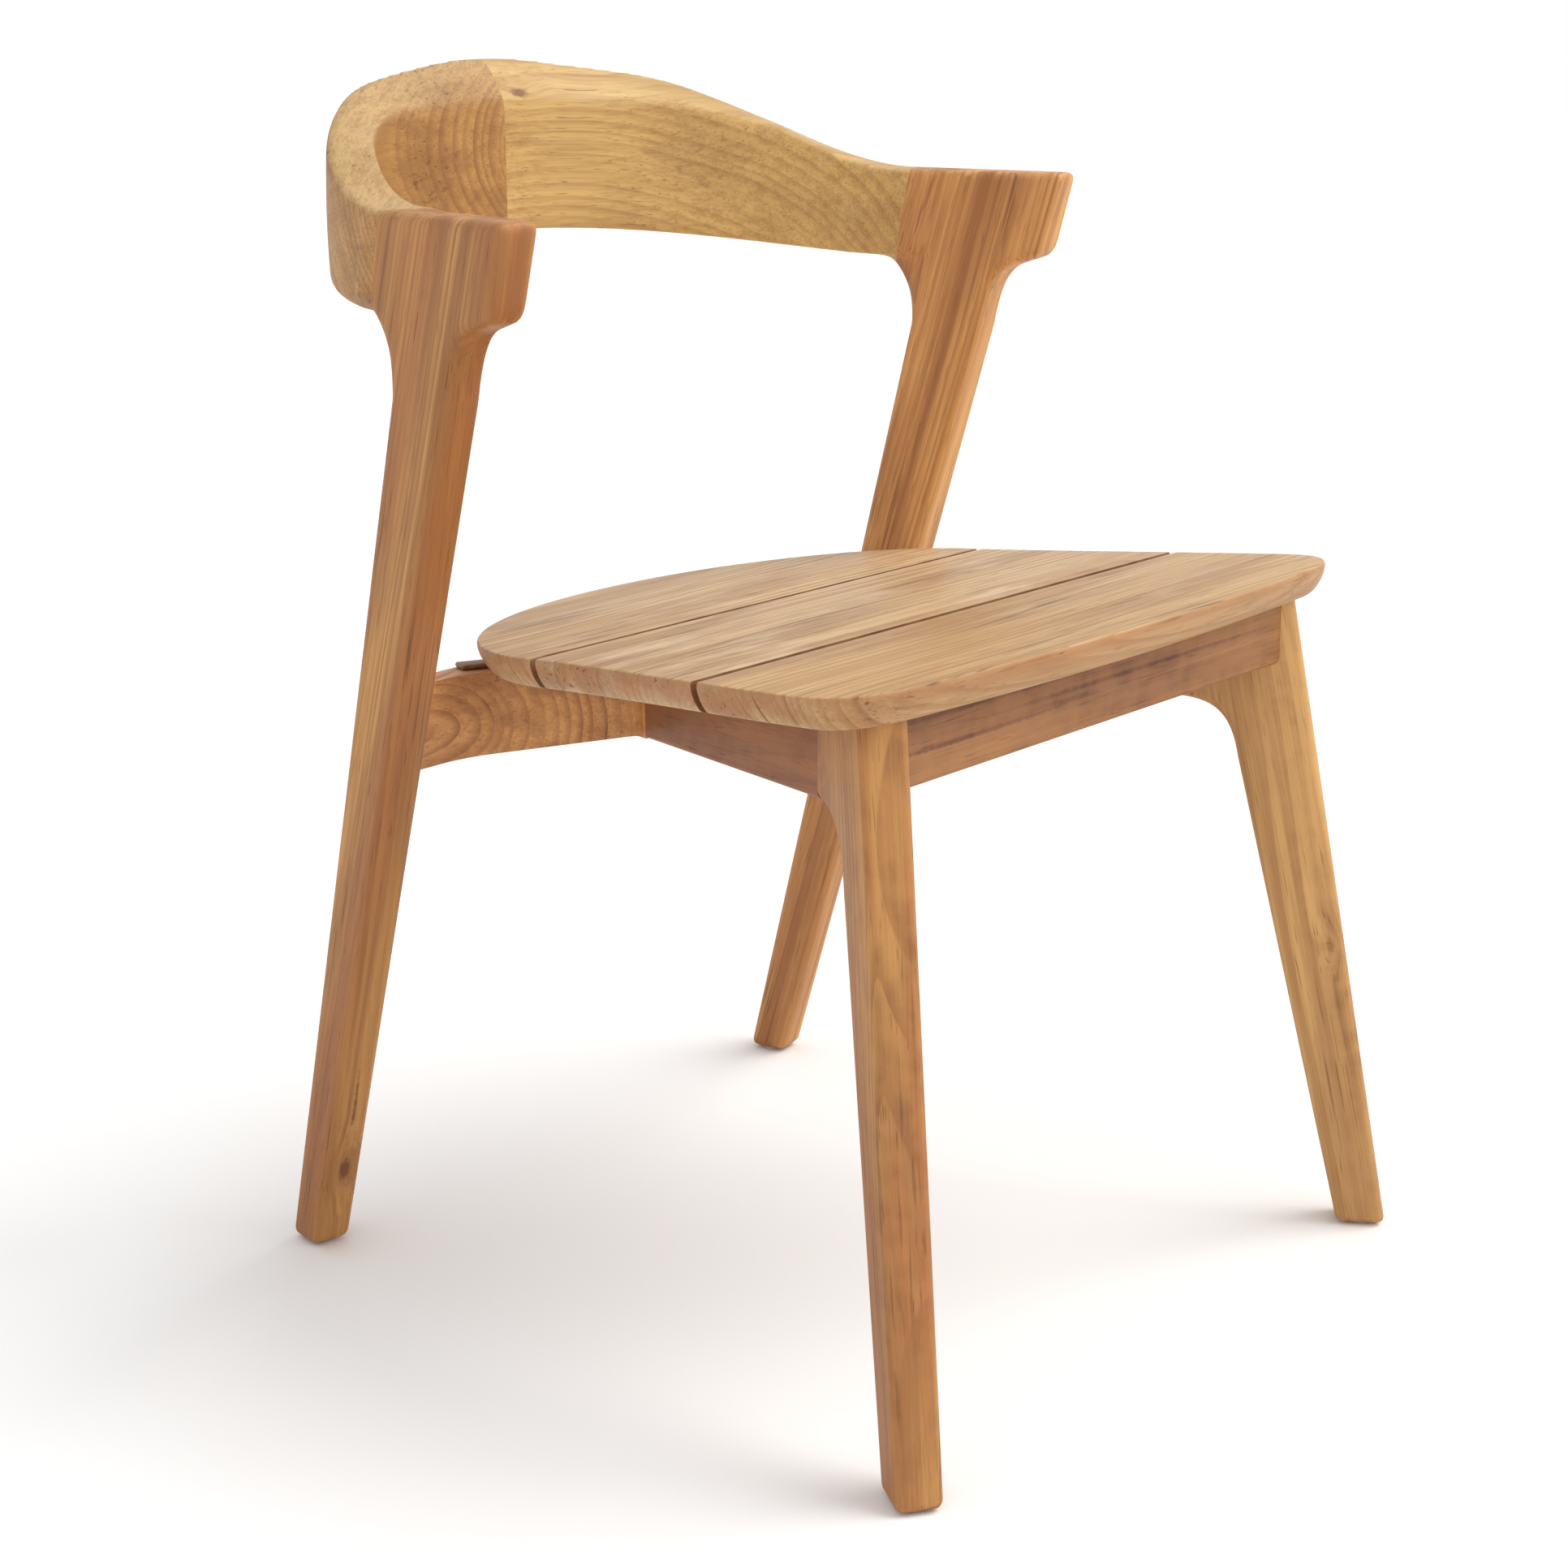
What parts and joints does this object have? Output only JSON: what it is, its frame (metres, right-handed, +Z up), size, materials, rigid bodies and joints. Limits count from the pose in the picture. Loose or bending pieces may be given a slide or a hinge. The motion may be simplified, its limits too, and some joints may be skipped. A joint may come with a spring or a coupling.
{
  "type": "dining chair",
  "caption": "Solid teak dining chair with a slatted, rounded seat, raked board legs and a low curved back that runs into the T-shaped tops of the rear legs.",
  "frame": {"origin": "middle of the foot of the overall box, on the floor", "axes": "+Z up, -Y towards the front of the chair, X across it"},
  "size_m": [0.5444, 0.597, 0.7668],
  "materials": {
    "teak_legs": "satin",
    "teak_back": "satin",
    "teak_seat": "satin",
    "teak_rails": "satin",
    "teak_hidden": "matte",
    "beech": "matte",
    "steel": "satin",
    "glide": "matte"
  },
  "bodies": {
    "root": {"back_arm_dowel_1_left": "beech", "back_arm_dowel_1_right": "beech", "back_arm_dowel_2_left": "beech", "back_arm_dowel_2_right": "beech", "back_half_left": "teak_back", "back_half_right": "teak_back", "back_middle_dowel_1": "beech", "back_middle_dowel_2": "beech", "front_apron": "teak_rails", "front_glide_left": "glide", "front_glide_right": "glide", "front_leg_left": "teak_legs", "front_leg_right": "teak_legs", "rear_glide_left": "glide", "rear_glide_right": "glide", "rear_leg_left": "teak_legs", "rear_leg_right": "teak_legs", "rear_rail": "teak_rails", "seat_bearer_left": "teak_hidden", "seat_bearer_right": "teak_hidden", "seat_slat_back": "teak_seat", "seat_slat_front": "teak_seat", "seat_slat_middle": "teak_seat", "seat_spacer_left": "teak_hidden", "seat_spacer_right": "teak_hidden", "side_rail_front_dowel_1_left": "beech", "side_rail_front_dowel_1_right": "beech", "side_rail_front_dowel_2_left": "beech", "side_rail_front_dowel_2_right": "beech", "side_rail_left": "teak_rails", "side_rail_rear_dowel_1_left": "beech", "side_rail_rear_dowel_1_right": "beech", "side_rail_rear_dowel_2_left": "beech", "side_rail_rear_dowel_2_right": "beech", "side_rail_right": "teak_rails", "slat_screw_back_left": "steel", "slat_screw_back_right": "steel", "slat_screw_front_left": "steel", "slat_screw_front_right": "steel", "slat_screw_middle_left": "steel", "slat_screw_middle_right": "steel"}
  },
  "joints": []
}
